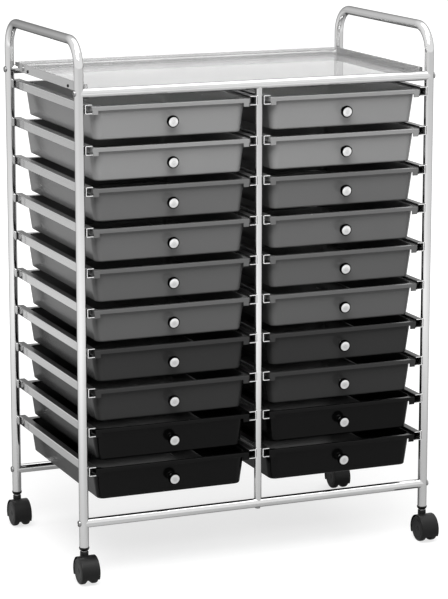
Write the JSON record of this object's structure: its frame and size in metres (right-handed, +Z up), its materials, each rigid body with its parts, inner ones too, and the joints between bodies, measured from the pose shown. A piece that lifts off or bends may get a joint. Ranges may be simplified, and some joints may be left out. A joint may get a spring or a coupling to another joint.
{
  "type": "rolling drawer cart",
  "caption": "Rolling cart with columns of pull-out tray drawers on channel runners, bent-tube side frames with handles, a clear top tray and swivel casters.",
  "frame": {"origin": "on the floor, midway between the wheels", "axes": "+Z up, the drawers' fronts face -Y, +X to the right seen from the front"},
  "size_m": [0.67, 0.416, 0.922],
  "materials": {
    "chrome_tube": "polished chrome plate",
    "runner_steel": "bright zinc plate, satin",
    "clear_plastic": "clear, smooth",
    "screw_steel": "bright zinc plate",
    "knob_metal": "bright turned metal",
    "drawer_light_grey": "glossy moulded",
    "drawer_grey": "glossy moulded",
    "drawer_mid_grey": "glossy moulded",
    "drawer_dark_grey": "glossy moulded",
    "drawer_black": "glossy moulded",
    "caster_plastic": "moulded, low sheen",
    "wheel_plastic": "moulded, low sheen"
  },
  "bodies": {
    "frame": {"left_side_frame": "chrome_tube", "right_side_frame": "chrome_tube", "cross_rails": "chrome_tube", "center_posts": "chrome_tube", "runners": "runner_steel", "top_tray": "clear_plastic", "frame_screws": "screw_steel", "caster_sockets": "caster_plastic"},
    "drawer_left_01": {"drawer_left_01": "drawer_light_grey", "knob_left_01": "knob_metal"},
    "drawer_left_02": {"drawer_left_02": "drawer_light_grey", "knob_left_02": "knob_metal"},
    "drawer_left_03": {"drawer_left_03": "drawer_grey", "knob_left_03": "knob_metal"},
    "drawer_left_04": {"drawer_left_04": "drawer_grey", "knob_left_04": "knob_metal"},
    "drawer_left_05": {"drawer_left_05": "drawer_mid_grey", "knob_left_05": "knob_metal"},
    "drawer_left_06": {"drawer_left_06": "drawer_mid_grey", "knob_left_06": "knob_metal"},
    "drawer_left_07": {"drawer_left_07": "drawer_dark_grey", "knob_left_07": "knob_metal"},
    "drawer_left_08": {"drawer_left_08": "drawer_dark_grey", "knob_left_08": "knob_metal"},
    "drawer_left_09": {"drawer_left_09": "drawer_black", "knob_left_09": "knob_metal"},
    "drawer_left_10": {"drawer_left_10": "drawer_black", "knob_left_10": "knob_metal"},
    "drawer_right_01": {"drawer_right_01": "drawer_light_grey", "knob_right_01": "knob_metal"},
    "drawer_right_02": {"drawer_right_02": "drawer_light_grey", "knob_right_02": "knob_metal"},
    "drawer_right_03": {"drawer_right_03": "drawer_grey", "knob_right_03": "knob_metal"},
    "drawer_right_04": {"drawer_right_04": "drawer_grey", "knob_right_04": "knob_metal"},
    "drawer_right_05": {"drawer_right_05": "drawer_mid_grey", "knob_right_05": "knob_metal"},
    "drawer_right_06": {"drawer_right_06": "drawer_mid_grey", "knob_right_06": "knob_metal"},
    "drawer_right_07": {"drawer_right_07": "drawer_dark_grey", "knob_right_07": "knob_metal"},
    "drawer_right_08": {"drawer_right_08": "drawer_dark_grey", "knob_right_08": "knob_metal"},
    "drawer_right_09": {"drawer_right_09": "drawer_black", "knob_right_09": "knob_metal"},
    "drawer_right_10": {"drawer_right_10": "drawer_black", "knob_right_10": "knob_metal"},
    "caster_front_left": {"caster_front_left": "caster_plastic"},
    "wheel_front_left_outer": {"wheel_front_left_outer": "wheel_plastic"},
    "wheel_front_left_inner": {"wheel_front_left_inner": "wheel_plastic"},
    "caster_front_right": {"caster_front_right": "caster_plastic"},
    "wheel_front_right_outer": {"wheel_front_right_outer": "wheel_plastic"},
    "wheel_front_right_inner": {"wheel_front_right_inner": "wheel_plastic"},
    "caster_rear_left": {"caster_rear_left": "caster_plastic"},
    "wheel_rear_left_outer": {"wheel_rear_left_outer": "wheel_plastic"},
    "wheel_rear_left_inner": {"wheel_rear_left_inner": "wheel_plastic"},
    "caster_rear_right": {"caster_rear_right": "caster_plastic"},
    "wheel_rear_right_outer": {"wheel_rear_right_outer": "wheel_plastic"},
    "wheel_rear_right_inner": {"wheel_rear_right_inner": "wheel_plastic"}
  },
  "joints": [
    {"name": "drawer_left_01_slide", "type": "slide", "parent": "frame", "child": "drawer_left_01", "axis": [0, -1, 0], "range_m": [0, 0.28]},
    {"name": "drawer_left_02_slide", "type": "slide", "parent": "frame", "child": "drawer_left_02", "axis": [0, -1, 0], "range_m": [0, 0.28]},
    {"name": "drawer_left_03_slide", "type": "slide", "parent": "frame", "child": "drawer_left_03", "axis": [0, -1, 0], "range_m": [0, 0.28]},
    {"name": "drawer_left_04_slide", "type": "slide", "parent": "frame", "child": "drawer_left_04", "axis": [0, -1, 0], "range_m": [0, 0.28]},
    {"name": "drawer_left_05_slide", "type": "slide", "parent": "frame", "child": "drawer_left_05", "axis": [0, -1, 0], "range_m": [0, 0.28]},
    {"name": "drawer_left_06_slide", "type": "slide", "parent": "frame", "child": "drawer_left_06", "axis": [0, -1, 0], "range_m": [0, 0.28]},
    {"name": "drawer_left_07_slide", "type": "slide", "parent": "frame", "child": "drawer_left_07", "axis": [0, -1, 0], "range_m": [0, 0.28]},
    {"name": "drawer_left_08_slide", "type": "slide", "parent": "frame", "child": "drawer_left_08", "axis": [0, -1, 0], "range_m": [0, 0.28]},
    {"name": "drawer_left_09_slide", "type": "slide", "parent": "frame", "child": "drawer_left_09", "axis": [0, -1, 0], "range_m": [0, 0.28]},
    {"name": "drawer_left_10_slide", "type": "slide", "parent": "frame", "child": "drawer_left_10", "axis": [0, -1, 0], "range_m": [0, 0.28]},
    {"name": "drawer_right_01_slide", "type": "slide", "parent": "frame", "child": "drawer_right_01", "axis": [0, -1, 0], "range_m": [0, 0.28]},
    {"name": "drawer_right_02_slide", "type": "slide", "parent": "frame", "child": "drawer_right_02", "axis": [0, -1, 0], "range_m": [0, 0.28]},
    {"name": "drawer_right_03_slide", "type": "slide", "parent": "frame", "child": "drawer_right_03", "axis": [0, -1, 0], "range_m": [0, 0.28]},
    {"name": "drawer_right_04_slide", "type": "slide", "parent": "frame", "child": "drawer_right_04", "axis": [0, -1, 0], "range_m": [0, 0.28]},
    {"name": "drawer_right_05_slide", "type": "slide", "parent": "frame", "child": "drawer_right_05", "axis": [0, -1, 0], "range_m": [0, 0.28]},
    {"name": "drawer_right_06_slide", "type": "slide", "parent": "frame", "child": "drawer_right_06", "axis": [0, -1, 0], "range_m": [0, 0.28]},
    {"name": "drawer_right_07_slide", "type": "slide", "parent": "frame", "child": "drawer_right_07", "axis": [0, -1, 0], "range_m": [0, 0.28]},
    {"name": "drawer_right_08_slide", "type": "slide", "parent": "frame", "child": "drawer_right_08", "axis": [0, -1, 0], "range_m": [0, 0.28]},
    {"name": "drawer_right_09_slide", "type": "slide", "parent": "frame", "child": "drawer_right_09", "axis": [0, -1, 0], "range_m": [0, 0.28]},
    {"name": "drawer_right_10_slide", "type": "slide", "parent": "frame", "child": "drawer_right_10", "axis": [0, -1, 0], "range_m": [0, 0.28]},
    {"name": "front_left_swivel", "type": "hinge", "parent": "frame", "child": "caster_front_left", "pos_m": [-0.319, -0.171, 0.053], "axis": [0, 0, 1], "continuous": true},
    {"name": "wheel_front_left_outer_spin", "type": "hinge", "parent": "caster_front_left", "child": "wheel_front_left_outer", "pos_m": [-0.319, -0.183, 0.023], "axis": [1, 0, 0], "continuous": true},
    {"name": "wheel_front_left_inner_spin", "type": "hinge", "parent": "caster_front_left", "child": "wheel_front_left_inner", "pos_m": [-0.319, -0.183, 0.023], "axis": [1, 0, 0], "continuous": true},
    {"name": "front_right_swivel", "type": "hinge", "parent": "frame", "child": "caster_front_right", "pos_m": [0.319, -0.171, 0.053], "axis": [0, 0, 1], "continuous": true},
    {"name": "wheel_front_right_outer_spin", "type": "hinge", "parent": "caster_front_right", "child": "wheel_front_right_outer", "pos_m": [0.319, -0.183, 0.023], "axis": [1, 0, 0], "continuous": true},
    {"name": "wheel_front_right_inner_spin", "type": "hinge", "parent": "caster_front_right", "child": "wheel_front_right_inner", "pos_m": [0.319, -0.183, 0.023], "axis": [1, 0, 0], "continuous": true},
    {"name": "rear_left_swivel", "type": "hinge", "parent": "frame", "child": "caster_rear_left", "pos_m": [-0.319, 0.195, 0.053], "axis": [0, 0, 1], "continuous": true},
    {"name": "wheel_rear_left_outer_spin", "type": "hinge", "parent": "caster_rear_left", "child": "wheel_rear_left_outer", "pos_m": [-0.319, 0.183, 0.023], "axis": [1, 0, 0], "continuous": true},
    {"name": "wheel_rear_left_inner_spin", "type": "hinge", "parent": "caster_rear_left", "child": "wheel_rear_left_inner", "pos_m": [-0.319, 0.183, 0.023], "axis": [1, 0, 0], "continuous": true},
    {"name": "rear_right_swivel", "type": "hinge", "parent": "frame", "child": "caster_rear_right", "pos_m": [0.319, 0.195, 0.053], "axis": [0, 0, 1], "continuous": true},
    {"name": "wheel_rear_right_outer_spin", "type": "hinge", "parent": "caster_rear_right", "child": "wheel_rear_right_outer", "pos_m": [0.319, 0.183, 0.023], "axis": [1, 0, 0], "continuous": true},
    {"name": "wheel_rear_right_inner_spin", "type": "hinge", "parent": "caster_rear_right", "child": "wheel_rear_right_inner", "pos_m": [0.319, 0.183, 0.023], "axis": [1, 0, 0], "continuous": true}
  ]
}
